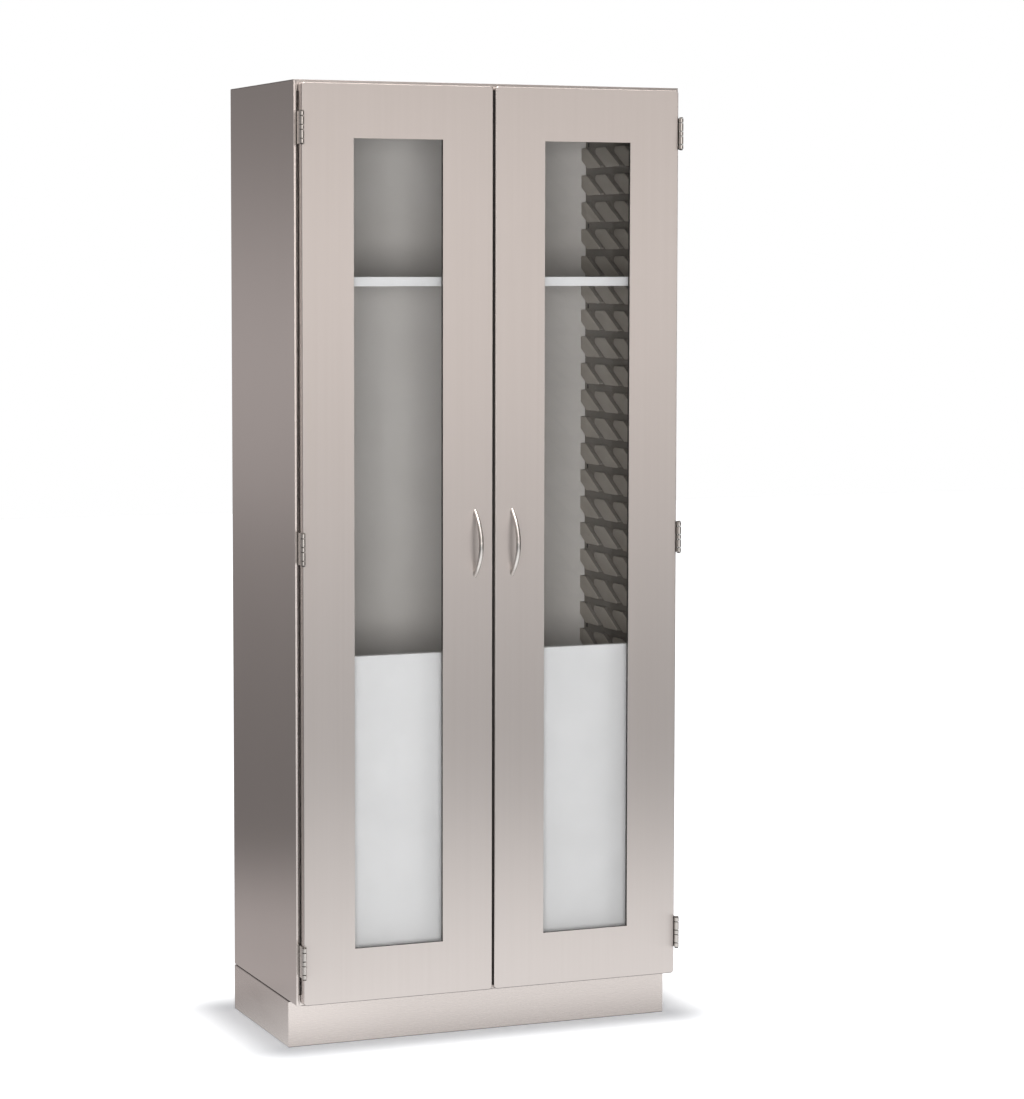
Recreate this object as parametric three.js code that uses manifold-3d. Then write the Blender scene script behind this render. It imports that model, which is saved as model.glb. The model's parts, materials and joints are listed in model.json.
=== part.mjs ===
// A free-standing stainless steel medical cabinet with two glazed doors.
// Millimetres, +Z up, the doors facing -Y. The origin is on the floor, in the middle of the
// footprint that the body, doors and handles cover together.

import * as THREE from 'three';
import { mergeVertices } from 'three/addons/utils/BufferGeometryUtils.js';
import Module from 'manifold-3d';

const wasm = await Module();
wasm.setup();

// Body: an 84 by 36 by 18 inch cabinet in folded sheet
const WIDTH = 914.4;
const BODY_DEPTH = 457.2;
const HEIGHT = 2133.6;
const SHEET = 1.5;
const FIT = 0.3;
const HEM_WIDTH = 6.3;
const HEM_DEPTH = 18;
const HEM_BEND = 1.3;
const BACK_FLANGE = 15;
const FRONT_FLANGE = 25;
const FLANGE_LIP = 14;
const SIDE_SEAM = 2;
const BASE_INSET = 12;

// Plinth: recessed at the front, flush at the sides
const PLINTH_HEIGHT = 105;
const PLINTH_SETBACK = 57;
const RAIL_FLANGE = 30;
const RAIL_BEND = 2.5;
const RAIL_CORNER_GAP = 1.2;

// Double side walls and their moulded liners
const INNER_WALL_INSET = 26.8;
const INNER_WALL_FRONT = 4;
const LINER_PLATE = 3;
const LINER_FRONT = 40;
const LINER_BACK = 452;
const LINING_FRONT = 452.4;
const LINER_TOP = 2090;
const BLOCK_PROUD = 12;
const BLOCK_HEIGHT = 47.5;
const BLOCK_LENGTH = 80;
const BLOCK_SLANT = 87;
const BLOCK_NOSE = 14;
const BLOCK_PITCH = 110;
const BLOCKS_PER_ROW = 4;
const FIRST_BLOCK_FRONT = 424;
const ROW_PITCH = 64;
const ROWS_BELOW_SHELF = 24;
const ROWS_ABOVE_SHELF = 6;

// Shelf, in the channel between two rows of blocks, and the retaining panel
const SHELF_CHANNEL = 1690.5;
const SHELF_THICKNESS = 12.5;
const SHELF_FRONT = 46;
const SHELF_LIP_HEIGHT = 20.5;
const SHELF_LIP_DROP = 4;
const PANEL_FRONT = 24;
const PANEL_TOP = 872;
const PANEL_RETURN = 14;

// Doors
const DOOR_THICKNESS = 21.5;
const DOOR_STANDOFF = 3.5;
const DOOR_SIDE_MARGIN = 9.7;
const DOOR_TOP_MARGIN = 6.3;
const DOOR_BOTTOM_MARGIN = 5;
const MEETING_GAP = 4.8;
const DOOR_CORNER = 7.5;
const CORNER_STEPS = 5;
const DOOR_EDGE_ROUND = 3.4;
const DOOR_WALL = 3;
const INNER_SHEET = 1.2;
const FRAME_WIDTH = 119;
const GLASS = 5;
const GLASS_SETBACK = 11;
const GLASS_BITE = 14;
const GASKET_SETBACK = 0.3;
const GASKET_REAR_SETBACK = 9;
const GASKET_WIDTH = 19;
const INNER_WINDOW_MARGIN = 10;

// Rubber strips along the edges where the doors meet
const SEAL = 1.2;
const SEAL_SETBACK = 6;
const SEAL_WIDTH = 11;
const SEAL_END_MARGIN = 8;

// Bow handles
const HANDLE_FROM_EDGE = 42;
const HANDLE_HEIGHT = 1118;
const HANDLE_HALF_SPAN = 70;
const HANDLE_BOW = 36;
const HANDLE_MID_RADIUS = 5.5;
const HANDLE_END_RADIUS = 4.4;
const HANDLE_RUN_IN = 1.08;
const SCREW_RADIUS = 2;
const SCREW_HEAD_RADIUS = 4.2;
const SCREW_HEAD = 2.5;
const SCREW_BITE = 4.5;
const SCREW_INSET = 2;

// Five-knuckle hinges
const HINGE_HEIGHTS = { top: 2030, middle: 1118, bottom: 207 };
const HINGE_LENGTH = 70;
const HINGE_FROM_EDGE = 1.9;
const HINGE_PROUD = 9.3;
const KNUCKLE_RADIUS = 5.2;
const KNUCKLE_SHARES = [0.15, 0.275, 0.15, 0.275, 0.15];
const KNUCKLE_GAP = 2;
const KNUCKLE_CLEARANCE = 1.1;
const FRAME_LEAF_NOTCH = 12;
const PIN_RADIUS = 2.2;
const PIN_HEAD = 2;
const FRAME_LEAF = 1.2;
const FRAME_LEAF_END = 17.5;
const DOOR_LEAF = 1.2;
const DOOR_LEAF_END = 2;

// Catches, strikes and bumpers
const CATCH_FROM_CENTRE = 70;
const CATCH_WIDTH = 46;
const CATCH_HEIGHT = 14;
const CATCH_LENGTH = 18;
const STRIKE = 1.5;
const BUMPER_RADIUS = 5;
const BUMPER_FROM_CENTRE = 24;

// Fineness of round pieces
const ROUND_SIDES = 14;
const BORE_SIDES = 10;
const HANDLE_STEPS = 20;

// Values worked out from the dimensions above
const SIDE = WIDTH / 2;
const INNER_BACK = BODY_DEPTH - SHEET - FIT;
const TOP_UNDERSIDE = HEIGHT - SHEET;
const FLOOR_TOP = PLINTH_HEIGHT + FRONT_FLANGE;
const PANEL_FOOT = PLINTH_HEIGHT + SIDE_SEAM;
const HEM_INSIDE = SIDE - HEM_WIDTH;
const INNER_WALL = SIDE - INNER_WALL_INSET;
const STILE_EDGE = HEM_INSIDE - FRAME_LEAF - 3 * FIT;
const DOOR_BACK = -DOOR_STANDOFF;
const DOOR_FRONT = DOOR_BACK - DOOR_THICKNESS;
const DOOR_X = [MEETING_GAP / 2, SIDE - DOOR_SIDE_MARGIN];
const DOOR_Z = [PLINTH_HEIGHT + DOOR_BOTTOM_MARGIN, HEIGHT - DOOR_TOP_MARGIN];
const WINDOW_X = [DOOR_X[0] + FRAME_WIDTH, DOOR_X[1] - FRAME_WIDTH];
const WINDOW_Z = [DOOR_Z[0] + FRAME_WIDTH, DOOR_Z[1] - FRAME_WIDTH];
const GLASS_FRONT = DOOR_FRONT + GLASS_SETBACK;
const HANDLE_X = DOOR_X[0] + HANDLE_FROM_EDGE;
const HINGE_X = DOOR_X[1] + HINGE_FROM_EDGE;
const HINGE_Y = DOOR_FRONT - HINGE_PROUD;
const FRONT_MOST = DOOR_FRONT - HANDLE_BOW - HANDLE_MID_RADIUS;

const X = new THREE.Vector3(1, 0, 0);
const Y = new THREE.Vector3(0, 1, 0);
const Z = new THREE.Vector3(0, 0, 1);

// A span with the same amount taken off both ends, or added to both where it is negative
const shrink = ([low, high], amount) => [low + amount, high - amount];

// Turns a closed three.js geometry into a solid that can be joined and cut.
function solid(geometry) {
  const bare = geometry.clone();
  bare.deleteAttribute('normal');
  bare.deleteAttribute('uv');
  const merged = mergeVertices(bare, 1e-4);
  return new wasm.Manifold(new wasm.Mesh({
    numProp: 3,
    vertProperties: new Float32Array(merged.attributes.position.array),
    triVerts: new Uint32Array(merged.index.array),
  }));
}

// Turns a joined or cut solid back into a three.js geometry.
function surface(shape) {
  const mesh = shape.getMesh();
  const geometry = new THREE.BufferGeometry();
  geometry.setAttribute('position', new THREE.BufferAttribute(mesh.vertProperties, 3));
  geometry.setIndex(new THREE.BufferAttribute(mesh.triVerts, 1));
  return geometry;
}

function box([x0, x1], [y0, y1], [z0, z1]) {
  const geometry = new THREE.BoxGeometry(x1 - x0, y1 - y0, z1 - z0);
  return geometry.translate((x0 + x1) / 2, (y0 + y1) / 2, (z0 + z1) / 2);
}

function outline(points) {
  return new THREE.Shape(points.map(([u, v]) => new THREE.Vector2(u, v)));
}

// Extrudes a shape drawn along the directions u and v from an origin, towards u cross v.
function extrude(shape, length, origin, u, v, options = {}) {
  const settings = { depth: length, bevelEnabled: false, curveSegments: 3, ...options };
  const geometry = new THREE.ExtrudeGeometry(shape, settings);
  const w = new THREE.Vector3().crossVectors(u, v);
  return geometry.applyMatrix4(new THREE.Matrix4().makeBasis(u, v, w).setPosition(...origin));
}

function rod(radius, [z0, z1], sides) {
  const geometry = new THREE.CylinderGeometry(radius, radius, z1 - z0, sides);
  return geometry.rotateX(Math.PI / 2).translate(0, 0, (z0 + z1) / 2);
}

// A rod along Y at one point of the X and Z plane
function crossRod(radius, x, [y0, y1], z, sides) {
  const geometry = new THREE.CylinderGeometry(radius, radius, y1 - y0, sides);
  return geometry.translate(x, (y0 + y1) / 2, z);
}

// The left-hand copy of a right-hand piece, with its faces still pointing out
function mirrored(geometry) {
  const copy = geometry.index ? geometry.toNonIndexed() : geometry.clone();
  copy.scale(-1, 1, 1);
  const position = copy.attributes.position;
  const first = new THREE.Vector3();
  const last = new THREE.Vector3();
  for (let i = 0; i < position.count; i += 3) {
    first.fromBufferAttribute(position, i);
    last.fromBufferAttribute(position, i + 2);
    position.setXYZ(i, last.x, last.y, last.z);
    position.setXYZ(i + 2, first.x, first.y, first.z);
  }
  copy.deleteAttribute('normal');
  copy.deleteAttribute('uv');
  return mergeVertices(copy, 1e-4);
}

const finishes = {
  brushedSteel: { color: 0xc4bdb8, roughness: 0.38, metalness: 0.9 },
  satinSteel: { color: 0xd2cfca, roughness: 0.25, metalness: 0.95 },
  whitePaint: { color: 0xdcdcdc, roughness: 0.5, metalness: 0 },
  greyPaint: { color: 0xb4b2ac, roughness: 0.5, metalness: 0 },
  greyPlastic: { color: 0x66625c, roughness: 0.6, metalness: 0 },
  blackRubber: { color: 0x1f1d1c, roughness: 0.8, metalness: 0 },
  clearGlass: { color: 0xeef4f2, roughness: 0.03, metalness: 0, transparent: true, opacity: 0.2 },
};

function add(group, name, geometry, finish) {
  const mesh = new THREE.Mesh(geometry, new THREE.MeshStandardMaterial(finishes[finish]));
  mesh.name = name;
  group.add(mesh);
}

// Adds a right-hand piece and its left-hand copy.
function addPair(groups, name, geometry, finish) {
  add(groups.right, `right_${name}`, geometry, finish);
  add(groups.left, `left_${name}`, mirrored(geometry), finish);
}

// Plinth rails: a folded channel, drawn as distance in from its face and height
function railShape() {
  const top = PLINTH_HEIGHT - FIT;
  const shape = new THREE.Shape();
  shape.moveTo(RAIL_FLANGE, 0);
  shape.lineTo(RAIL_FLANGE, SHEET);
  shape.lineTo(SHEET, SHEET);
  shape.lineTo(SHEET, top - SHEET);
  shape.lineTo(RAIL_FLANGE, top - SHEET);
  shape.lineTo(RAIL_FLANGE, top);
  shape.lineTo(RAIL_BEND, top);
  shape.absarc(RAIL_BEND, top - RAIL_BEND, RAIL_BEND, Math.PI / 2, Math.PI, false);
  shape.absarc(RAIL_BEND, RAIL_BEND, RAIL_BEND, Math.PI, 1.5 * Math.PI, false);
  return shape;
}

// The front and back rails run the full width, with their flanges cut back at the corners.
function crossRail(face, inward) {
  const along = new THREE.Vector3().crossVectors(inward, Z);
  const rail = extrude(railShape(), WIDTH, [-along.x * SIDE, face, 0], inward, Z);
  const cut = SHEET + FIT;
  const inner = [face + inward.y * cut, face + inward.y * (RAIL_FLANGE + 1)].sort((a, b) => a - b);
  const corner = box([SIDE - RAIL_FLANGE - cut, SIDE + 1], inner, [-1, PLINTH_HEIGHT]);
  return surface(solid(rail).subtract(solid(corner)).subtract(solid(mirrored(corner))));
}

function sideRail() {
  const start = PLINTH_SETBACK + SHEET + RAIL_CORNER_GAP;
  return extrude(railShape(), INNER_BACK - start, [SIDE, start, 0], X.clone().negate(), Z);
}

// Side panel: one sheet with a thick rounded hem at the front and a flange at the back
function sidePanel() {
  const section = new THREE.Shape();
  section.absarc(HEM_INSIDE + HEM_BEND, HEM_BEND, HEM_BEND, Math.PI, 1.5 * Math.PI, false);
  section.absarc(SIDE - HEM_BEND, HEM_BEND, HEM_BEND, 1.5 * Math.PI, 2 * Math.PI, false);
  section.lineTo(SIDE, INNER_BACK);
  section.lineTo(SIDE - BACK_FLANGE, INNER_BACK);
  section.lineTo(SIDE - BACK_FLANGE, INNER_BACK - SHEET);
  section.lineTo(SIDE - SHEET, INNER_BACK - SHEET);
  section.lineTo(SIDE - SHEET, HEM_DEPTH);
  section.lineTo(HEM_INSIDE, HEM_DEPTH);
  const length = TOP_UNDERSIDE - FIT - PANEL_FOOT;
  return extrude(section, length, [0, 0, PANEL_FOOT], X, Y);
}

// Top panel: a sheet over the sides, with a front flange and lip between the hems
function topPanel() {
  const between = HEM_INSIDE - FIT;
  const bottom = HEIGHT - FRONT_FLANGE;
  const sheet = box([-SIDE, SIDE], [0, INNER_BACK], [TOP_UNDERSIDE, HEIGHT]);
  const flange = box([-between, between], [0, SHEET], [bottom, HEIGHT]);
  const lip = box([-between, between], [0, FLANGE_LIP], [bottom, bottom + SHEET]);
  return surface(solid(sheet).add(solid(flange)).add(solid(lip)));
}

// Base sheet: it lies on the plinth, clear of the side panels' lower edges.
function baseSheet() {
  const half = SIDE - BASE_INSET;
  return box([-half, half], [0, LINING_FRONT], [PLINTH_HEIGHT, PLINTH_HEIGHT + SHEET]);
}

// Floor: a sheet notched round the hems, with a flange down at the front
function cabinetFloor() {
  const wide = SIDE - SHEET - FIT;
  const narrow = HEM_INSIDE - FIT;
  const step = HEM_DEPTH + FIT;
  const back = INNER_BACK - SHEET - FIT;
  const plan = outline([
    [-narrow, 0],
    [narrow, 0],
    [narrow, step],
    [wide, step],
    [wide, back],
    [-wide, back],
    [-wide, step],
    [-narrow, step],
  ]);
  const sheet = extrude(plan, SHEET, [0, 0, FLOOR_TOP - SHEET], X, Y);
  const foot = PLINTH_HEIGHT + SHEET + FIT;
  const flange = box([-narrow, narrow], [0, SHEET], [foot, FLOOR_TOP]);
  return surface(solid(sheet).add(solid(flange)));
}

// Inner wall: a sheet whose front return is the stile behind the door's edge, notched at the
// top round the top panel's lip
function innerWall() {
  const section = outline([
    [INNER_WALL, INNER_WALL_FRONT],
    [STILE_EDGE, INNER_WALL_FRONT],
    [STILE_EDGE, INNER_WALL_FRONT + SHEET],
    [INNER_WALL + SHEET, INNER_WALL_FRONT + SHEET],
    [INNER_WALL + SHEET, INNER_BACK],
    [INNER_WALL, INNER_BACK],
  ]);
  const start = FLOOR_TOP + FIT;
  const wall = extrude(section, TOP_UNDERSIDE - FIT - start, [0, 0, start], X, Y);
  const notch = box([0, SIDE], [0, FLANGE_LIP + FIT], [HEIGHT - FRONT_FLANGE - FIT, HEIGHT]);
  return surface(solid(wall).subtract(solid(notch)));
}

// Back lining: a painted sheet between the inner walls, in front of the back panel
function backLining() {
  const half = INNER_WALL - FIT;
  const y = [LINING_FRONT, LINING_FRONT + SHEET];
  return box([-half, half], y, [FLOOR_TOP + FIT, TOP_UNDERSIDE - FIT]);
}

// One slanted shelf block in the Y and Z plane, with its sharp back corner taken off
function blockShape(front, top) {
  const bottom = top - BLOCK_HEIGHT;
  const nose = BLOCK_NOSE / BLOCK_SLANT;
  return outline([
    [front, top],
    [front - BLOCK_SLANT, bottom],
    [front - BLOCK_SLANT + BLOCK_LENGTH, bottom],
    [front + BLOCK_LENGTH - BLOCK_NOSE, top - nose * BLOCK_HEIGHT],
    [front + BLOCK_LENGTH - 2 * BLOCK_NOSE, top],
  ]);
}

// Liner: a moulded plate with rows of blocks whose gaps take shelves level or tilted
function liner() {
  const plateX = [INNER_WALL - FIT - LINER_PLATE, INNER_WALL - FIT];
  const face = plateX[0] - BLOCK_PROUD;
  const span = [LINER_FRONT, LINER_BACK];
  const height = [FLOOR_TOP + 1, LINER_TOP];
  let shape = solid(box(plateX, span, height));
  for (let row = 1 - ROWS_BELOW_SHELF; row <= ROWS_ABOVE_SHELF; row += 1) {
    for (let i = 0; i < BLOCKS_PER_ROW; i += 1) {
      const front = FIRST_BLOCK_FRONT - i * BLOCK_PITCH;
      const top = SHELF_CHANNEL + row * ROW_PITCH;
      const depth = BLOCK_PROUD + LINER_PLATE / 2;
      shape = shape.add(solid(extrude(blockShape(front, top), depth, [face, 0, 0], Y, Z)));
    }
  }
  const trim = box([face - 1, INNER_WALL], span, height);
  return surface(shape.intersect(solid(trim)));
}

// Shelf: an open-bottomed pan in the liners' channels, with a deeper lip between them
function shelf() {
  const half = INNER_WALL - FIT - LINER_PLATE - FIT;
  const lipHalf = half - BLOCK_PROUD - FIT;
  const low = SHELF_CHANNEL + 1;
  const z = [low, low + SHELF_THICKNESS];
  const lipZ = [low - SHELF_LIP_DROP, low - SHELF_LIP_DROP + SHELF_LIP_HEIGHT];
  const plate = box([-half, half], [SHELF_FRONT, LINER_BACK], z);
  const hollowX = [-half + SHEET, half - SHEET];
  const hollowY = shrink([SHELF_FRONT, LINER_BACK], SHEET);
  const hollow = box(hollowX, hollowY, [lipZ[0] - 1, z[1] - SHEET]);
  const lip = box([-lipHalf, lipHalf], [SHELF_FRONT - SHEET, SHELF_FRONT + SHEET], lipZ);
  return surface(solid(plate).subtract(solid(hollow)).add(solid(lip)));
}

// Retaining panel: a white pan open at the back, fixed between the inner walls
function retainingPanel() {
  const half = INNER_WALL - FIT;
  const z = [FLOOR_TOP + FIT, PANEL_TOP];
  const outer = box([-half, half], [PANEL_FRONT, PANEL_FRONT + PANEL_RETURN], z);
  const hollowX = [-half + SHEET, half - SHEET];
  const hollowY = [PANEL_FRONT + SHEET, PANEL_FRONT + PANEL_RETURN + 1];
  const hollow = box(hollowX, hollowY, [z[0] - 1, z[1] - SHEET]);
  return surface(solid(outer).subtract(solid(hollow)));
}

function roundedRectangle([x0, x1], [z0, z1], r) {
  const shape = new THREE.Shape();
  shape.moveTo(x0 + r, z0);
  shape.absarc(x1 - r, z0 + r, r, -Math.PI / 2, 0, false);
  shape.absarc(x1 - r, z1 - r, r, 0, Math.PI / 2, false);
  shape.absarc(x0 + r, z1 - r, r, Math.PI / 2, Math.PI, false);
  shape.absarc(x0 + r, z0 + r, r, Math.PI, 1.5 * Math.PI, false);
  return shape;
}

// Holes for the two handle screws through a door sheet
function withoutScrewHoles(sheet) {
  let result = sheet;
  for (const side of [1, -1]) {
    const z = HANDLE_HEIGHT + side * (HANDLE_HALF_SPAN - SCREW_INSET);
    const through = [DOOR_FRONT - 1, DOOR_BACK + 1];
    const hole = crossRod(SCREW_RADIUS + FIT, HANDLE_X, through, z, BORE_SIDES);
    result = result.subtract(solid(hole));
  }
  return result;
}

// Door skin: a pan with rounded front edges, open at the back, with the window cut through
function doorSkin() {
  const bevel = {
    bevelEnabled: true,
    bevelThickness: DOOR_EDGE_ROUND,
    bevelSize: DOOR_EDGE_ROUND,
    bevelOffset: -DOOR_EDGE_ROUND,
    bevelSegments: 3,
    curveSegments: CORNER_STEPS,
  };
  const face = roundedRectangle(DOOR_X, DOOR_Z, DOOR_CORNER);
  const straight = DOOR_THICKNESS - DOOR_EDGE_ROUND;
  const slab = extrude(face, straight, [0, DOOR_BACK, 0], X, Z, bevel);
  const behind = box([-1, SIDE], [DOOR_BACK, DOOR_BACK + 2 * DOOR_EDGE_ROUND], [0, HEIGHT]);
  const cavityY = [DOOR_FRONT + SHEET, DOOR_BACK + 1];
  const cavity = box(shrink(DOOR_X, DOOR_WALL), cavityY, shrink(DOOR_Z, DOOR_WALL));
  const window = box(WINDOW_X, [DOOR_FRONT - 1, DOOR_BACK], WINDOW_Z);
  const pan = solid(slab).subtract(solid(behind)).subtract(solid(cavity)).subtract(solid(window));
  return surface(withoutScrewHoles(pan));
}

function doorInnerPanel() {
  const inset = DOOR_WALL + FIT;
  const y = [DOOR_BACK - INNER_SHEET, DOOR_BACK];
  const sheet = box(shrink(DOOR_X, inset), y, shrink(DOOR_Z, inset));
  const clear = -INNER_WINDOW_MARGIN;
  const window = box(shrink(WINDOW_X, clear), [DOOR_FRONT, DOOR_BACK + 1], shrink(WINDOW_Z, clear));
  return surface(withoutScrewHoles(solid(sheet).subtract(solid(window))));
}

function doorGlass() {
  const y = [GLASS_FRONT, GLASS_FRONT + GLASS];
  return box(shrink(WINDOW_X, -GLASS_BITE), y, shrink(WINDOW_Z, -GLASS_BITE));
}

// Gasket: a rubber frame clamped between skin and inner panel, grooved for the glass, with a
// narrow lip in front of it and a shorter one behind
function doorGasket() {
  const y = [DOOR_FRONT + SHEET + FIT, DOOR_BACK - INNER_SHEET - FIT];
  const grooveY = [GLASS_FRONT - FIT, GLASS_FRONT + GLASS + FIT];
  const frame = (margin, depth) => solid(box(shrink(WINDOW_X, -margin), depth, shrink(WINDOW_Z, -margin)));
  const gasket = frame(GASKET_WIDTH, y)
    .subtract(frame(GASKET_SETBACK, [y[0] - 1, grooveY[1]]))
    .subtract(frame(GLASS_BITE + FIT, grooveY))
    .subtract(frame(GASKET_REAR_SETBACK, [GLASS_FRONT, y[1] + 1]));
  return surface(gasket);
}

// Meeting seal: a rubber strip on the door's free edge, set back from its front
function meetingSeal() {
  const x = [DOOR_X[0] - FIT - SEAL, DOOR_X[0] - FIT];
  const front = DOOR_FRONT + SEAL_SETBACK;
  return box(x, [front, front + SEAL_WIDTH], shrink(DOOR_Z, SEAL_END_MARGIN));
}

// A round bar along a curve, its radius given as a function of the share of the way along
function taperedBar(curve, radiusAt, steps, sides) {
  const frames = curve.computeFrenetFrames(steps);
  const points = [];
  const triangles = [];
  for (let i = 0; i <= steps; i += 1) {
    const centre = curve.getPointAt(i / steps);
    for (let j = 0; j < sides; j += 1) {
      const angle = (2 * Math.PI * j) / sides;
      const point = centre.clone();
      point.addScaledVector(frames.normals[i], radiusAt(i / steps) * Math.cos(angle));
      point.addScaledVector(frames.binormals[i], radiusAt(i / steps) * Math.sin(angle));
      points.push(point);
    }
  }
  const end = steps * sides;
  for (let j = 0; j < sides; j += 1) {
    const next = (j + 1) % sides;
    for (let i = 0; i < end; i += sides) {
      triangles.push(i + j, i + next, i + sides + j);
      triangles.push(i + next, i + sides + next, i + sides + j);
    }
    if (j > 0 && next > 0) {
      triangles.push(0, next, j);
      triangles.push(end, end + j, end + next);
    }
  }
  const geometry = new THREE.BufferGeometry().setFromPoints(points);
  return geometry.setIndex(triangles);
}

// Handle: a bowed bar, thicker in the middle, its ends cut flat on the door
function doorHandle() {
  const half = HANDLE_HALF_SPAN * HANDLE_RUN_IN;
  const inside = HANDLE_BOW * (HANDLE_RUN_IN ** 2 - 1);
  const reach = 2 * HANDLE_BOW + inside;
  const bow = new THREE.QuadraticBezierCurve3(
    new THREE.Vector3(HANDLE_X, DOOR_FRONT + inside, HANDLE_HEIGHT + half),
    new THREE.Vector3(HANDLE_X, DOOR_FRONT - reach, HANDLE_HEIGHT),
    new THREE.Vector3(HANDLE_X, DOOR_FRONT + inside, HANDLE_HEIGHT - half),
  );
  const swell = HANDLE_MID_RADIUS - HANDLE_END_RADIUS;
  const radiusAt = (share) => HANDLE_END_RADIUS + swell * Math.sin(Math.PI * share);
  let bar = solid(taperedBar(bow, radiusAt, HANDLE_STEPS, ROUND_SIDES));
  const door = box([0, SIDE], [DOOR_FRONT - FIT, 0], [0, HEIGHT]);
  bar = bar.subtract(solid(door));
  for (const side of [1, -1]) {
    const z = HANDLE_HEIGHT + side * (HANDLE_HALF_SPAN - SCREW_INSET);
    const bite = [DOOR_FRONT - SCREW_BITE - 2 * FIT, DOOR_FRONT];
    bar = bar.subtract(solid(crossRod(SCREW_RADIUS + FIT, HANDLE_X, bite, z, BORE_SIDES)));
  }
  return surface(bar);
}

// Handle screw: its head on the inner panel, its shank through the door into the handle
function handleScrew(side) {
  const z = HANDLE_HEIGHT + side * (HANDLE_HALF_SPAN - SCREW_INSET);
  const seat = DOOR_BACK + FIT;
  const shank = crossRod(SCREW_RADIUS, HANDLE_X, [DOOR_FRONT - SCREW_BITE, seat + 1], z, BORE_SIDES);
  const head = crossRod(SCREW_HEAD_RADIUS, HANDLE_X, [seat, seat + SCREW_HEAD], z, ROUND_SIDES);
  return surface(solid(shank).add(solid(head)));
}

// The five knuckles of a hinge, as spans of height from its middle, with a gap between them
function knuckleSpans() {
  let z = -HINGE_LENGTH / 2;
  return KNUCKLE_SHARES.map((share) => {
    const start = z;
    z += share * HINGE_LENGTH;
    return [start + KNUCKLE_GAP / 2, z - KNUCKLE_GAP / 2];
  });
}

// A leaf: a plate beside the pin, its own knuckles, and room for the other leaf's knuckles.
// It is drawn round the pin, with X out from the door and Y back.
function hingeLeaf(plateX, plateEnd, notchEnd, owns) {
  let leaf = solid(box(plateX, [0, plateEnd], [-HINGE_LENGTH / 2, HINGE_LENGTH / 2]));
  const spans = knuckleSpans();
  spans.forEach((span, i) => {
    if (!owns(i)) {
      const notch = box(shrink(plateX, -1), [-1, notchEnd], shrink(span, -KNUCKLE_GAP));
      leaf = leaf.subtract(solid(notch));
    }
  });
  spans.forEach((span, i) => {
    if (owns(i)) {
      leaf = leaf.add(solid(rod(KNUCKLE_RADIUS, span, ROUND_SIDES)));
    }
  });
  const bore = rod(PIN_RADIUS + FIT, [-HINGE_LENGTH, HINGE_LENGTH], BORE_SIDES);
  return surface(leaf.subtract(solid(bore)));
}

function frameLeaf() {
  const outside = HEM_INSIDE - FIT - HINGE_X;
  const end = FRAME_LEAF_END - HINGE_Y;
  return hingeLeaf([outside - FRAME_LEAF, outside], end, FRAME_LEAF_NOTCH, (i) => i % 2 === 0);
}

function doorLeaf() {
  const inside = DOOR_X[1] + FIT - HINGE_X;
  const end = DOOR_BACK - DOOR_LEAF_END - HINGE_Y;
  const notch = KNUCKLE_RADIUS + KNUCKLE_CLEARANCE;
  return hingeLeaf([inside, inside + DOOR_LEAF], end, notch, (i) => i % 2 === 1);
}

// Hinge pin: a plain pin with a domed head at each end
function hingePin() {
  const half = HINGE_LENGTH / 2 + FIT;
  const rim = KNUCKLE_RADIUS - FIT;
  const dome = [
    [0, half + PIN_HEAD],
    [rim * 0.6, half + PIN_HEAD * 0.8],
    [rim, half + PIN_HEAD * 0.3],
    [rim, half],
    [PIN_RADIUS, half],
  ];
  const foot = dome.map(([r, z]) => [r, -z]);
  const profile = [...foot, ...dome.reverse()];
  const points = profile.map(([r, z]) => new THREE.Vector2(r, z));
  return new THREE.LatheGeometry(points, ROUND_SIDES).rotateX(Math.PI / 2);
}

// Catch: a magnet case hung under the top panel's lip, and the strike plate it holds
const STRIKE_Y = [DOOR_BACK + FIT, DOOR_BACK + FIT + STRIKE];
const CATCH_X = [CATCH_FROM_CENTRE - CATCH_WIDTH / 2, CATCH_FROM_CENTRE + CATCH_WIDTH / 2];
const CATCH_TOP = HEIGHT - FRONT_FLANGE - FIT;

function magneticCatch() {
  const front = STRIKE_Y[1] + FIT;
  return box(CATCH_X, [front, front + CATCH_LENGTH], [CATCH_TOP - CATCH_HEIGHT, CATCH_TOP]);
}

function strikePlate() {
  return box(shrink(CATCH_X, FIT), STRIKE_Y, shrink([CATCH_TOP - CATCH_HEIGHT, CATCH_TOP], FIT));
}

function bumper(height) {
  const y = [DOOR_BACK + FIT, -FIT];
  return crossRod(BUMPER_RADIUS, BUMPER_FROM_CENTRE, y, height, BORE_SIDES);
}

// The cabinet is drawn from the front plane of its body, then moved to its own origin.
const cabinet = new THREE.Group();
cabinet.position.y = -(BODY_DEPTH + FRONT_MOST) / 2;
const body = new THREE.Group();
const doors = { left: new THREE.Group(), right: new THREE.Group() };
const bodySides = { left: body, right: body };
cabinet.add(body, doors.left, doors.right);

add(body, 'plinth_front_rail', crossRail(PLINTH_SETBACK, Y), 'brushedSteel');
add(body, 'plinth_back_rail', crossRail(BODY_DEPTH, Y.clone().negate()), 'brushedSteel');
addPair(bodySides, 'plinth_rail', sideRail(), 'brushedSteel');
add(body, 'base_sheet', baseSheet(), 'brushedSteel');
add(body, 'cabinet_floor', cabinetFloor(), 'brushedSteel');
addPair(bodySides, 'side_panel', sidePanel(), 'brushedSteel');
const backY = [BODY_DEPTH - SHEET, BODY_DEPTH];
add(body, 'back_panel', box([-SIDE, SIDE], backY, [PANEL_FOOT, HEIGHT]), 'brushedSteel');
add(body, 'top_panel', topPanel(), 'brushedSteel');
addPair(bodySides, 'inner_wall', innerWall(), 'brushedSteel');
add(body, 'back_lining', backLining(), 'greyPaint');
addPair(bodySides, 'liner', liner(), 'greyPlastic');
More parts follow.
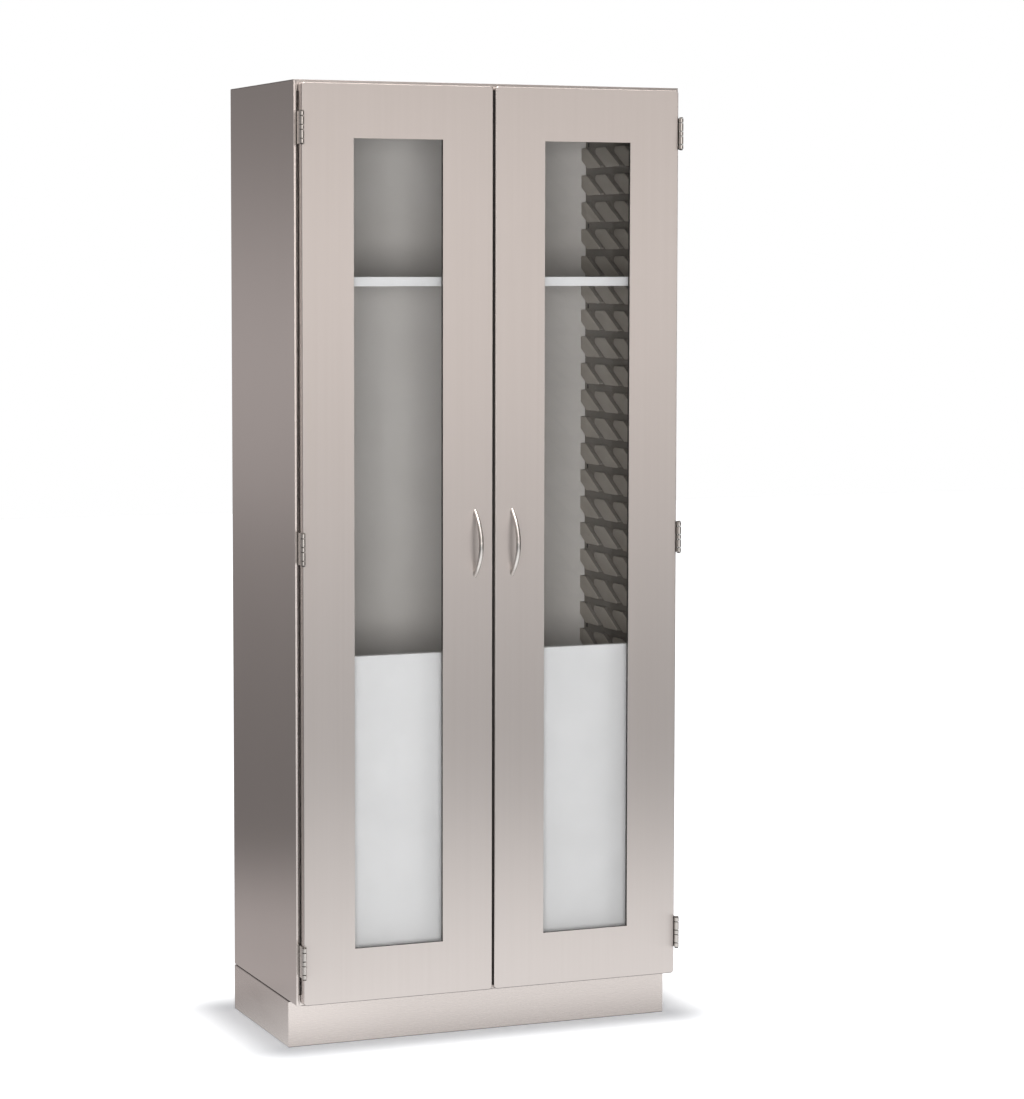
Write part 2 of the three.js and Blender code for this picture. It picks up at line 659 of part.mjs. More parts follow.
add(body, 'shelf', shelf(), 'whitePaint');
add(body, 'retaining_panel', retainingPanel(), 'whitePaint');
addPair(bodySides, 'catch', magneticCatch(), 'whitePaint');
const bumperHeights = {
  upper: (DOOR_Z[1] + HEIGHT - FRONT_FLANGE) / 2,
  lower: (DOOR_Z[0] + FLOOR_TOP) / 2,
};
for (const [place, height] of Object.entries(bumperHeights)) {
  addPair(bodySides, `${place}_bumper`, bumper(height), 'blackRubber');
}

addPair(doors, 'door_skin', doorSkin(), 'brushedSteel');
addPair(doors, 'door_inner_panel', doorInnerPanel(), 'brushedSteel');
addPair(doors, 'door_gasket', doorGasket(), 'blackRubber');
addPair(doors, 'door_glass', doorGlass(), 'clearGlass');
addPair(doors, 'door_meeting_seal', meetingSeal(), 'blackRubber');
addPair(doors, 'door_handle', doorHandle(), 'satinSteel');
addPair(doors, 'handle_upper_screw', handleScrew(1), 'satinSteel');
addPair(doors, 'handle_lower_screw', handleScrew(-1), 'satinSteel');
addPair(doors, 'door_strike', strikePlate(), 'satinSteel');

for (const [place, height] of Object.entries(HINGE_HEIGHTS)) {
  const at = [HINGE_X, HINGE_Y, height];
  addPair(bodySides, `${place}_frame_leaf`, frameLeaf().translate(...at), 'satinSteel');
  addPair(bodySides, `${place}_hinge_pin`, hingePin().translate(...at), 'satinSteel');
  addPair(doors, `${place}_door_leaf`, doorLeaf().translate(...at), 'satinSteel');
}

export default cabinet;
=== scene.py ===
import json
import math

import bmesh
import bpy
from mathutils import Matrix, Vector


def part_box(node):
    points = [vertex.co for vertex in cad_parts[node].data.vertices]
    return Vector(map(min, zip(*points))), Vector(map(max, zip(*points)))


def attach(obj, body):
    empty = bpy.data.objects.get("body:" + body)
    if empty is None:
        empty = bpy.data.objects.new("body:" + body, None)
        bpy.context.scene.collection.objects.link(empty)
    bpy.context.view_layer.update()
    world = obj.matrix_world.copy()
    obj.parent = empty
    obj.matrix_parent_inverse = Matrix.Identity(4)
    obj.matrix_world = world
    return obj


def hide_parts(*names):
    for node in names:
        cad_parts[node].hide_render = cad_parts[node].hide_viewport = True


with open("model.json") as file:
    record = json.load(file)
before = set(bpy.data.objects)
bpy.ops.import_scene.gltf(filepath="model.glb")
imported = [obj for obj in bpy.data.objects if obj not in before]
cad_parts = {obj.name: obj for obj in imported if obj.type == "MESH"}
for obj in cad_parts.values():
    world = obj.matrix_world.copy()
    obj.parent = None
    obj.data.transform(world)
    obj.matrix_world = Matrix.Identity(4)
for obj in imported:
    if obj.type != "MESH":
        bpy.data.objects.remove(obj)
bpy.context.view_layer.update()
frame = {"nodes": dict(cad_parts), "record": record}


# Plinth
# Four folded channels of brushed stainless sheet, welded into a frame that stands on the floor.
# The front one is set back for the toes; the others are flush with the body.

BODY_OF = {node: body for body, nodes in frame["record"]["behaviour"]["bodies"].items() for node in nodes}
MILLIMETRE = 0.001


def place(tree, kind, inputs=None, **settings):
    """Adds a shader node, sets its settings, and fills or links its inputs."""
    node = tree.nodes.new(kind)
    for name, value in settings.items():
        setattr(node, name, value)
    for name, value in (inputs or {}).items():
        if isinstance(value, bpy.types.NodeSocket):
            tree.links.new(value, node.inputs[name])
        else:
            node.inputs[name].default_value = value
    return node


def new_group(name, sockets_in, sockets_out):
    """An empty shader node group with value or vector inputs and value outputs."""
    group = bpy.data.node_groups.new(name, "ShaderNodeTree")
    for label, kind in sockets_in.items():
        group.interface.new_socket(label, in_out="INPUT", socket_type=kind)
    for label in sockets_out:
        group.interface.new_socket(label, in_out="OUTPUT", socket_type="NodeSocketFloat")
    entry = group.nodes.new("NodeGroupInput")
    leave = group.nodes.new("NodeGroupOutput")
    return group, entry.outputs, leave.inputs


# Brushing leaves long scratches along one direction: fine ones that only catch light, and
# broader faint streaks. Handling leaves soft cloudy patches.
brushing, entry, leave = new_group(
    "brushing",
    {"Stretch": "NodeSocketVector", "Cloud Scale": "NodeSocketFloat"},
    ["Scratches", "Streaks", "Clouds"],
)
surface_point = place(brushing, "ShaderNodeTexCoord").outputs["Object"]
stretched = place(
    brushing, "ShaderNodeVectorMath", {0: surface_point, 1: entry["Stretch"]}, operation="MULTIPLY"
).outputs["Vector"]
scratches = place(brushing, "ShaderNodeTexNoise", {"Vector": stretched, "Scale": 6.0, "Detail": 4.0})
streaks = place(brushing, "ShaderNodeTexNoise", {"Vector": stretched, "Scale": 0.35, "Detail": 3.0})
clouds = place(
    brushing,
    "ShaderNodeTexNoise",
    {"Vector": surface_point, "Scale": entry["Cloud Scale"], "Detail": 3.0, "Roughness": 0.45},
)
for label, texture in (("Scratches", scratches), ("Streaks", streaks), ("Clouds", clouds)):
    brushing.links.new(texture.outputs["Fac"], leave[label])


def spread(tree, value, low, high):
    """Maps the middle of a noise value onto a range."""
    mapping = place(
        tree,
        "ShaderNodeMapRange",
        {"Value": value, "From Min": 0.3, "From Max": 0.7, "To Min": low, "To Max": high},
    )
    return mapping.outputs["Result"]


def new_material(name):
    material = bpy.data.materials.new(name)
    material.use_nodes = True
    return material, material.node_tree, material.node_tree.nodes["Principled BSDF"]


def tint(tree, factor, dark, light):
    """A colour between two, by a factor that changes over the surface."""
    mixer = place(tree, "ShaderNodeMix", data_type="RGBA")
    tree.links.new(factor, mixer.inputs[0])
    mixer.inputs[6].default_value = (*dark, 1.0)
    mixer.inputs[7].default_value = (*light, 1.0)
    return mixer.outputs[2]


CREVICE_REACH = 5.0 * MILLIMETRE
CREVICE_DARKEST = 0.2
SCRATCH_DEPTH = 0.1 * MILLIMETRE


def brushed_steel(
    name, stretch, around, across, dark, light, roughness, cloud_scale=3.5, relief=0.03, underside_shade=0.35
):
    """Stainless with a brushed grain. stretch is large across the grain, small along it, and light
    spreads by the amount across, in rings around the axis that is named. Painted shade darkens the
    colour in crevices and on faces that turn downwards."""
    material, tree, shader = new_material(name)
    across_grain = place(tree, "ShaderNodeTangent", direction_type="RADIAL", axis=around)
    tree.links.new(across_grain.outputs["Tangent"], shader.inputs["Tangent"])
    shader.inputs["Anisotropic"].default_value = across
    grain = place(tree, "ShaderNodeGroup", node_tree=brushing)
    grain.inputs["Stretch"].default_value = stretch
    grain.inputs["Cloud Scale"].default_value = cloud_scale
    streaked = place(
        tree,
        "ShaderNodeMath",
        {0: grain.outputs["Streaks"], 1: grain.outputs["Clouds"]},
        operation="ADD",
    ).outputs["Value"]
    halved = place(tree, "ShaderNodeMath", {0: streaked, 1: 0.5}, operation="MULTIPLY").outputs["Value"]
    colour = tint(tree, spread(tree, halved, 0.0, 1.0), dark, light)
    # Painted shade: the colour darkens in crevices, where ambient occlusion finds them closed in.
    openness = place(tree, "ShaderNodeAmbientOcclusion", {"Distance": CREVICE_REACH}, samples=4)
    crevice_darkening = place(
        tree,
        "ShaderNodeMapRange",
        {"Value": openness.outputs["AO"], "From Min": 0.1, "From Max": 0.62, "To Min": CREVICE_DARKEST},
    ).outputs["Result"]
    # Painted shade: faces that turn downwards are darkened in the colour.
    facing = place(tree, "ShaderNodeNewGeometry").outputs["Normal"]
    facing_up = place(tree, "ShaderNodeSeparateXYZ", {0: facing}).outputs["Z"]
    underside_darkening = place(
        tree,
        "ShaderNodeMapRange",
        {"Value": facing_up, "From Min": -0.7, "From Max": -0.15, "To Min": underside_shade},
    ).outputs["Result"]
    painted_shade = place(tree, "ShaderNodeMath", {0: crevice_darkening, 1: underside_darkening}, operation="MULTIPLY")
    shaded_colour = place(
        tree,
        "ShaderNodeVectorMath",
        {0: colour, "Scale": painted_shade.outputs["Value"]},
        operation="SCALE",
    )
    tree.links.new(shaded_colour.outputs["Vector"], shader.inputs["Base Color"])
    worn = place(
        tree,
        "ShaderNodeMath",
        {0: spread(tree, grain.outputs["Scratches"], -0.03, 0.03), 1: grain.outputs["Clouds"]},
        operation="MULTIPLY_ADD",
    )
    worn.inputs[2].default_value = roughness
    tree.links.new(worn.outputs["Value"], shader.inputs["Roughness"])
    ground = place(
        tree,
        "ShaderNodeBump",
        {"Height": grain.outputs["Scratches"], "Strength": relief, "Distance": SCRATCH_DEPTH},
    )
    tree.links.new(ground.outputs["Normal"], shader.inputs["Normal"])
    shader.inputs["Metallic"].default_value = 1.0
    return material


UPRIGHT_GRAIN = (420.0, 420.0, 4.0)
LEVEL_GRAIN = (4.0, 4.0, 420.0)
STEEL_DARK = (0.668, 0.624, 0.603)
STEEL_LIGHT = (0.690, 0.646, 0.626)
SHEET_ACROSS = 0.5
upright_steel = brushed_steel(
    "upright_brushed_steel", UPRIGHT_GRAIN, "Z", SHEET_ACROSS, STEEL_DARK, STEEL_LIGHT, 0.25
)
FINE_DARK = (0.674, 0.630, 0.609)
FINE_LIGHT = (0.684, 0.640, 0.619)
level_steel = brushed_steel(
    "level_brushed_steel", LEVEL_GRAIN, "X", SHEET_ACROSS, FINE_DARK, FINE_LIGHT, 0.27, relief=0.006
)

collection = bpy.context.scene.collection
SMOOTH_BELOW = math.radians(29.0)
FLAT_WITHIN = math.radians(0.5)
WELD_WITHIN = 0.001 * MILLIMETRE
LARGE_FACE_WEIGHT = 90


def settle(piece, node, material):
    """Gives a piece its finish and its body, and hides the node that it stands for."""
    piece.data.materials.append(material)
    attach(piece, BODY_OF[node])
    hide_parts(node)
    return piece


def finished(node, edge_round, material, segments=2):
    """The node's own shape with its sharp edges broken, as folded or moulded edges are."""
    shape = bmesh.new()
    shape.from_mesh(frame["nodes"][node].data)
    bmesh.ops.remove_doubles(shape, verts=shape.verts, dist=WELD_WITHIN)
    bmesh.ops.dissolve_limit(shape, angle_limit=FLAT_WITHIN, verts=shape.verts, edges=shape.edges)
    mesh = bpy.data.meshes.new(f"{node}_finished")
    shape.to_mesh(mesh)
    shape.free()
    mesh.shade_smooth()
    piece = bpy.data.objects.new(f"{node}_finished", mesh)
    collection.objects.link(piece)
    rounding = piece.modifiers.new("broken edges", "BEVEL")
    rounding.width = edge_round
    rounding.segments = segments
    rounding.limit_method = "ANGLE"
    rounding.angle_limit = SMOOTH_BELOW
    shading = piece.modifiers.new("flat faces stay flat", "WEIGHTED_NORMAL")
    shading.weight = LARGE_FACE_WEIGHT
    return settle(piece, node, material)


SHEET_EDGE = 0.5 * MILLIMETRE
for rail in ("plinth_front_rail", "plinth_back_rail", "left_plinth_rail", "right_plinth_rail"):
    finished(rail, SHEET_EDGE, level_steel)


# Body shell
# Brushed stainless sheets: a base and a floor, two sides whose front edge is folded into a thick
# hem, a back and a top whose front turns down into a flange. Spot welded and riveted together.

for panel in ("left_side_panel", "right_side_panel", "back_panel", "base_sheet"):
    finished(panel, SHEET_EDGE, upright_steel)
for panel in ("top_panel", "cabinet_floor"):
    finished(panel, SHEET_EDGE, level_steel)


def add_dome(shape, centre, outward, radius, height, rings=4, sides=16):
    """A shallow domed head, closed underneath, standing on centre along outward."""
    outward = Vector(outward)
    across = outward.orthogonal().normalized()
    along = outward.cross(across)
    centre = Vector(centre)
    layers = []
    for ring in range(rings):
        angle = 0.5 * math.pi * ring / rings
        level = centre + outward * (height * math.sin(angle))
        reach = radius * math.cos(angle)
        turns = [2.0 * math.pi * side / sides for side in range(sides)]
        layers.append(
            [shape.verts.new(level + reach * (math.cos(t) * across + math.sin(t) * along)) for t in turns]
        )
    crown = shape.verts.new(centre + outward * height)
    shape.faces.new(list(reversed(layers[0])))
    for lower, upper in zip(layers, layers[1:]):
        for side in range(sides):
            after = (side + 1) % sides
            shape.faces.new((lower[side], lower[after], upper[after], upper[side]))
    for side in range(sides):
        shape.faces.new((layers[-1][side], layers[-1][(side + 1) % sides], crown))


SHARP_ABOVE = math.radians(40.0)


def added_piece(name, shape, material, body):
    """An extra piece that no node stands for, made from a finished bmesh."""
    bmesh.ops.recalc_face_normals(shape, faces=shape.faces)
    mesh = bpy.data.meshes.new(name)
    shape.to_mesh(mesh)
    shape.free()
    mesh.shade_smooth()
    mesh.set_sharp_from_angle(angle=SHARP_ABOVE)
    mesh.materials.append(material)
    piece = bpy.data.objects.new(name, mesh)
    collection.objects.link(piece)
    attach(piece, body)
    return piece


RIVET_RADIUS = 3.2 * MILLIMETRE
RIVET_HEIGHT = 1.4 * MILLIMETRE
RIVET_INSET = 8.0 * MILLIMETRE
RIVETS_UP = 9
RIVETS_ACROSS = 4
back_low, back_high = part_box("back_panel")
rivets = bmesh.new()
for rivet in range(RIVETS_UP):
    share = rivet / (RIVETS_UP - 1)
    rivet_z = back_low.z + RIVET_INSET + share * (back_high.z - back_low.z - 2.0 * RIVET_INSET)
    for rivet_x in (back_low.x + RIVET_INSET, back_high.x - RIVET_INSET):
        add_dome(rivets, (rivet_x, back_high.y, rivet_z), (0, 1, 0), RIVET_RADIUS, RIVET_HEIGHT)
for rivet in range(1, RIVETS_ACROSS):
    rivet_x = back_low.x + rivet / RIVETS_ACROSS * (back_high.x - back_low.x)
    for rivet_z in (back_low.z + RIVET_INSET, back_high.z - RIVET_INSET):
        add_dome(rivets, (rivet_x, back_high.y, rivet_z), (0, 1, 0), RIVET_RADIUS, RIVET_HEIGHT)
added_piece("back_rivets", rivets, upright_steel, "cabinet_body")


# Inner walls and liners
# The side walls are double. On each inner wall hangs a moulded grey liner with rows of slanted
# blocks, whose gaps hold shelves level or tilted. Small moulded slots take a label or a stop; they
# are drawn as thin black beads on the plate, painted shade for their dark openings.

for wall in ("left_inner_wall", "right_inner_wall"):
    finished(wall, SHEET_EDGE, upright_steel)

moulding, entry, leave = new_group("moulding", {"Fineness": "NodeSocketFloat"}, ["Stipple", "Mottle"])
surface_point = place(moulding, "ShaderNodeTexCoord").outputs["Object"]
stipple = place(
    moulding, "ShaderNodeTexNoise", {"Vector": surface_point, "Scale": entry["Fineness"], "Detail": 2.0}
)
mottle = place(moulding, "ShaderNodeTexNoise", {"Vector": surface_point, "Scale": 9.0, "Detail": 3.0})
moulding.links.new(stipple.outputs["Fac"], leave["Stipple"])
moulding.links.new(mottle.outputs["Fac"], leave["Mottle"])


STIPPLE_DEPTH = 0.2 * MILLIMETRE
GLOSS_CHANGE = 0.06


def skin_finish(name, dark, light, roughness, fineness, relief_strength, shine=0.5):
    """A moulded or sprayed surface: a fine stipple, and a faint mottle in colour and gloss."""
    material, tree, shader = new_material(name)
    texture = place(tree, "ShaderNodeGroup", node_tree=moulding)
    texture.inputs["Fineness"].default_value = fineness
    colour = tint(tree, spread(tree, texture.outputs["Mottle"], 0.0, 1.0), dark, light)
    tree.links.new(colour, shader.inputs["Base Color"])
    gloss = spread(
        tree, texture.outputs["Stipple"], roughness - GLOSS_CHANGE, roughness + GLOSS_CHANGE
    )
    tree.links.new(gloss, shader.inputs["Roughness"])
    shader.inputs["Specular IOR Level"].default_value = shine
    relief = place(
        tree,
        "ShaderNodeBump",
        {"Height": texture.outputs["Stipple"], "Strength": relief_strength, "Distance": STIPPLE_DEPTH},
    )
    tree.links.new(relief.outputs["Normal"], shader.inputs["Normal"])
    return material


LINER_SHINE = 0.1
moulded_grey = skin_finish(
    "moulded_grey", (0.350, 0.318, 0.279), (0.385, 0.353, 0.314), 0.55, 900.0, 0.25, LINER_SHINE
)
# Painted shade: the plate and the blocks' side walls take this darker copy of the liner grey, for the
# shade in the gaps between the blocks.
recess_shade_grey = skin_finish(
    "recess_shade_grey", (0.178, 0.162, 0.143), (0.200, 0.184, 0.165), 0.65, 900.0, 0.25, LINER_SHINE
)
slot_shade_black = skin_finish(
    "slot_shade_black", (0.010, 0.010, 0.010), (0.016, 0.016, 0.015), 0.8, 900.0, 0.1, LINER_SHINE
)

PLATE = 3.0 * MILLIMETRE
BLOCK_HEIGHT = 47.5 * MILLIMETRE
BLOCK_LENGTH = 80.0 * MILLIMETRE
BLOCK_SLANT = 87.0 * MILLIMETRE
BLOCK_PITCH = 110.0 * MILLIMETRE
BLOCKS_PER_ROW = 4
BLOCK_START = 28.0 * MILLIMETRE
BLOCK_CORNERS = [radius * MILLIMETRE for radius in (4.0, 2.6, 4.0, 8.5)]
BLOCK_EDGE = 1.8 * MILLIMETRE
BLOCK_SUNK = 0.5 * MILLIMETRE
ROW_PITCH = 64.0 * MILLIMETRE
ROWS = 30
TOP_ROW_BELOW_TOP = 15.5 * MILLIMETRE
CORNER_STEPS = 5
EDGE_STEPS = 3
SHADED_RECESS = 1


def filleted(corners, radii):
    """A closed outline through the corners, each rounded by its own radius."""
    points = []
    for index, (corner, radius) in enumerate(zip(corners, radii)):
        back = (corners[index - 1] - corner).normalized()
        ahead = (corners[(index + 1) % len(corners)] - corner).normalized()
        half = back.angle(ahead) / 2.0
        centre = corner + (back + ahead).normalized() * (radius / math.sin(half))
        first = corner + back * (radius / math.tan(half)) - centre
        last = corner + ahead * (radius / math.tan(half)) - centre
        turn = math.atan2(first.x * last.y - first.y * last.x, first.dot(last))
        for step in range(CORNER_STEPS + 1):
            angle = turn * step / CORNER_STEPS
            spoke = Vector((
                first.x * math.cos(angle) - first.y * math.sin(angle),
                first.x * math.sin(angle) + first.y * math.cos(angle),
            ))
            points.append(centre + spoke)
    return points


def trimmed(points, limit, keep_below):
    """The part of an outline on one side of a limit along its first direction."""
    kept = []
    sign = 1.0 if keep_below else -1.0
    for point, following in zip(points, points[1:] + points[:1]):
        inside, next_inside = sign * (limit - point.x), sign * (limit - following.x)
        if inside >= 0.0:
            kept.append(point)
        if inside * next_inside < 0.0:
            kept.append(point.lerp(following, inside / (inside - next_inside)))
    return kept


def inset(points, amount):
    """A convex outline moved in by an amount all round."""
    moved = []
    for index, point in enumerate(points):
        before = (point - points[index - 1]).normalized()
        after = (points[(index + 1) % len(points)] - point).normalized()
        inward = Vector((-before.y - after.y, before.x + after.x)).normalized()
        lean = max(0.3, inward.dot(Vector((-before.y, before.x))))
        moved.append(point + inward * (amount / lean))
    return moved


def add_block(shape, points, root, face):
    """One block standing from root to face, with the edge round its face rounded over."""
    outward = 1.0 if face > root else -1.0
    levels = [(root, 0.0)]
    for step in range(EDGE_STEPS + 1):
        angle = 0.5 * math.pi * step / EDGE_STEPS
        drop, drawn_in = BLOCK_EDGE * (1.0 - math.sin(angle)), BLOCK_EDGE * (1.0 - math.cos(angle))
        levels.append((face - outward * drop, drawn_in))
    rings = []
    for across, drawn_in in levels:
        rings.append([shape.verts.new((across, point.x, point.y)) for point in inset(points, drawn_in)])
    for ring, following in zip(rings, rings[1:]):
        for index in range(len(ring)):
            after = (index + 1) % len(ring)
            wall = shape.faces.new((ring[index], ring[after], following[after], following[index]))
            # Painted shade: the side walls from the plate to the rounded edge take the darker grey.
            wall.material_index = SHADED_RECESS if ring is rings[0] else 0
    shape.faces.new(rings[0])
    shape.faces.new(rings[-1])


def liner_piece(node, inner, outer):
    """Builds one liner from its plate's outer face to the blocks' inner face."""
    low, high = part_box(node)
    plate_face = outer + math.copysign(PLATE, inner - outer)
    shape = bmesh.new()
    plate = bmesh.ops.create_cube(shape, size=1.0)["verts"]
    middle = Vector(((outer + plate_face) / 2.0, (low.y + high.y) / 2.0, (low.z + high.z) / 2.0))
    extent = Vector((PLATE, high.y - low.y, high.z - low.z))
    for vert in plate:
        vert.co = vert.co * extent + middle
    for face in shape.faces:
        face.material_index = SHADED_RECESS
    for row in range(ROWS):
        top = high.z - TOP_ROW_BELOW_TOP - row * ROW_PITCH
        for block in range(BLOCKS_PER_ROW):
            front = high.y - BLOCK_START - block * BLOCK_PITCH
            corners = [
                Vector((front, top)),
                Vector((front - BLOCK_SLANT, top - BLOCK_HEIGHT)),
                Vector((front - BLOCK_SLANT + BLOCK_LENGTH, top - BLOCK_HEIGHT)),
                Vector((front + BLOCK_LENGTH, top)),
            ]
            points = trimmed(trimmed(filleted(corners, BLOCK_CORNERS), high.y, True), low.y, False)
            sunk = math.copysign(BLOCK_SUNK, outer - inner)
            add_block(shape, points, plate_face + sunk, inner)
    bmesh.ops.recalc_face_normals(shape, faces=shape.faces)
    mesh = bpy.data.meshes.new(f"{node}_moulding")
    shape.to_mesh(mesh)
    shape.free()
    mesh.shade_smooth()
    mesh.set_sharp_from_angle(angle=SHARP_ABOVE)
    piece = bpy.data.objects.new(f"{node}_moulding", mesh)
    collection.objects.link(piece)
    settle(piece, node, moulded_grey)
    mesh.materials.append(recess_shade_grey)
    return piece


left_low, left_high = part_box("left_liner")
right_low, right_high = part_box("right_liner")
liner_piece("left_liner", left_high.x, left_low.x)
liner_piece("right_liner", right_low.x, right_high.x)

SLOT_FROM_BACK = 17.0 * MILLIMETRE
SLOT_LENGTH = 7.5 * MILLIMETRE
SLOT_HEIGHT = 10.0 * MILLIMETRE
SLOT_PROUD = 0.4 * MILLIMETRE
SLOT_EVERY = 3
# Painted shade: each slot is a near-black bead that stands for the dark inside of the opening.
slots = bmesh.new()
for face, outward in ((left_low.x + PLATE, 1.0), (right_high.x - PLATE, -1.0)):
    for row in range(1, ROWS, SLOT_EVERY):
        slot_z = right_high.z - TOP_ROW_BELOW_TOP - row * ROW_PITCH + (ROW_PITCH - BLOCK_HEIGHT) / 2.0
        bead = bmesh.ops.create_cube(slots, size=1.0)["verts"]
        for vert in bead:
            vert.co.x = face + outward * SLOT_PROUD * vert.co.x
            vert.co.y = right_high.y - SLOT_FROM_BACK + SLOT_LENGTH * vert.co.y
            vert.co.z = slot_z + SLOT_HEIGHT * vert.co.z
added_piece("liner_slots", slots, slot_shade_black, "cabinet_body")


# Back lining, shelf and retaining panel
# Folded steel with a smooth powder coat, grey on the lining and white on the others. The shelf is a
# pan with a deeper front lip, pushed into the liners' gaps. The panel stands behind the doors.

LINING_SHINE = 0.2
white_coat = skin_finish(
    "white_powder_coat", (0.655, 0.655, 0.655), (0.695, 0.695, 0.695), 0.42, 650.0, 0.18
)
# Painted light: the shelf takes a lighter copy of the white coat than the panel has.
lightened_shelf_coat = skin_finish(
    "shelf_powder_coat_lightened", (0.70, 0.70, 0.70), (0.74, 0.74, 0.74), 0.42, 650.0, 0.18
)
grey_coat = skin_finish(
    "grey_powder_coat", (0.500, 0.480, 0.458), (0.530, 0.510, 0.488), 0.40, 650.0, 0.12, LINING_SHINE
)
COATED_EDGE = 0.7 * MILLIMETRE
finished("back_lining", COATED_EDGE, grey_coat)
finished("shelf", COATED_EDGE, lightened_shelf_coat, segments=3)
finished("retaining_panel", COATED_EDGE, white_coat, segments=3)


# Catches and bumpers
# A magnet in a white case under the top holds each door by a steel strike plate. Small rubber
# buttons on the body's flanges quiet the doors as they close.

black_rubber = skin_finish(
    "black_rubber", (0.032, 0.029, 0.027), (0.044, 0.041, 0.038), 0.70, 1200.0, 0.2
)
CASE_EDGE = 1.5 * MILLIMETRE
BUTTON_EDGE = 1.2 * MILLIMETRE
for side in ("left", "right"):
    finished(f"{side}_catch", CASE_EDGE, white_coat, segments=3)
    for button in ("upper_bumper", "lower_bumper"):
        finished(f"{side}_{button}", BUTTON_EDGE, black_rubber, segments=3)


# Hinges
# Three five-knuckle butt hinges on each door, in satin stainless. One leaf is fixed to the body's
# hem, the other to the edge of the door, and a plain pin with domed heads joins them. The pin is
# coloured dark, painted shade for the gaps between the knuckles.

FITTING_ACROSS = 0.1
FITTING_CLOUDS = 20.0
HINGE_DARK = (0.50, 0.48, 0.46)
HINGE_LIGHT = (0.58, 0.56, 0.54)
hinge_steel = brushed_steel(
    "hinge_satin_steel", UPRIGHT_GRAIN, "Z", FITTING_ACROSS, HINGE_DARK, HINGE_LIGHT, 0.24, FITTING_CLOUDS
)
# Painted shade: the pin's dark colour makes the gaps between the knuckles read as dark lines.
PIN_DARK = (0.15, 0.14, 0.13)
PIN_LIGHT = (0.21, 0.20, 0.19)
shaded_pin_steel = brushed_steel(
    "pin_shaded_steel", UPRIGHT_GRAIN, "Z", FITTING_ACROSS, PIN_DARK, PIN_LIGHT, 0.35, FITTING_CLOUDS
)
LEAF_EDGE = 0.5 * MILLIMETRE
for side in ("left", "right"):
    for level in ("top", "middle", "bottom"):
        finished(f"{side}_{level}_hinge_pin", LEAF_EDGE, shaded_pin_steel, segments=3)
        for leaf in ("frame_leaf", "door_leaf"):
            finished(f"{side}_{level}_{leaf}", LEAF_EDGE, hinge_steel, segments=3)


# Doors
# Each is a folded stainless pan with a rounded edge and one tall window, closed at the back by an
# inner panel. The pane sits in a black rubber gasket that is clamped between the two, and a rubber
# strip on the free edge closes the gap where the doors meet. The strip's black is also painted
# shade, which darkens that gap.

clear_glass, glass_tree, glass_shader = new_material("clear_glass")
film = place(glass_tree, "ShaderNodeGroup", node_tree=brushing)
film.inputs["Stretch"].default_value = (9.0, 9.0, 3.0)
film.inputs["Cloud Scale"].default_value = 6.0
glass_film = spread(glass_tree, film.outputs["Clouds"], 0.01, 0.05)
glass_tree.links.new(glass_film, glass_shader.inputs["Roughness"])
glass_tint = tint(glass_tree, film.outputs["Streaks"], (0.975, 0.985, 0.98), (0.99, 0.995, 0.99))
glass_tree.links.new(glass_tint, glass_shader.inputs["Base Color"])
glass_shader.inputs["Transmission Weight"].default_value = 1.0
glass_shader.inputs["IOR"].default_value = 1.45
glass_shader.inputs["Alpha"].default_value = 0.06

DOOR_ACROSS = 0.98
door_steel = brushed_steel(
    "door_brushed_steel", UPRIGHT_GRAIN, "Z", DOOR_ACROSS, STEEL_DARK, STEEL_LIGHT, 0.39
)
BRIGHT_DARK = (0.60, 0.58, 0.56)
BRIGHT_LIGHT = (0.70, 0.68, 0.66)
bright_steel = brushed_steel(
    "bright_satin_steel", UPRIGHT_GRAIN, "Z", FITTING_ACROSS, BRIGHT_DARK, BRIGHT_LIGHT, 0.19,
    FITTING_CLOUDS, underside_shade=1.0,
)

EDGE_FINISH = 1
FACES_OUT = 0.8
PANE_EDGE = 0.6 * MILLIMETRE
GASKET_EDGE = 0.6 * MILLIMETRE
SEAL_EDGE = 0.4 * MILLIMETRE
for side in ("left", "right"):
    door_skin = finished(f"{side}_door_skin", SHEET_EDGE, door_steel, segments=3).data
    door_skin.materials.append(upright_steel)
    for face in door_skin.polygons:
        face.material_index = EDGE_FINISH if abs(face.normal.y) < FACES_OUT else 0
    finished(f"{side}_door_inner_panel", SHEET_EDGE, upright_steel)
    finished(f"{side}_door_gasket", GASKET_EDGE, black_rubber)
    finished(f"{side}_door_glass", PANE_EDGE, clear_glass)
    # Painted shade: the black seal darkens the gap where the doors meet.
    finished(f"{side}_door_meeting_seal", SEAL_EDGE, black_rubber)
    finished(f"{side}_door_strike", SHEET_EDGE, bright_steel)


# Handles
# A bowed round bar, thicker in the middle, in bright satin stainless. Its ends are cut flat on the
# door and held from behind by two screws through the door.

HANDLE_SPAN = 140.0 * MILLIMETRE
HANDLE_RUN_IN = 1.08
BAR_MIDDLE_RADIUS = 5.5 * MILLIMETRE
BAR_END_RADIUS = 4.4 * MILLIMETRE
BAR_STEPS = 72
BAR_SIDES = 32


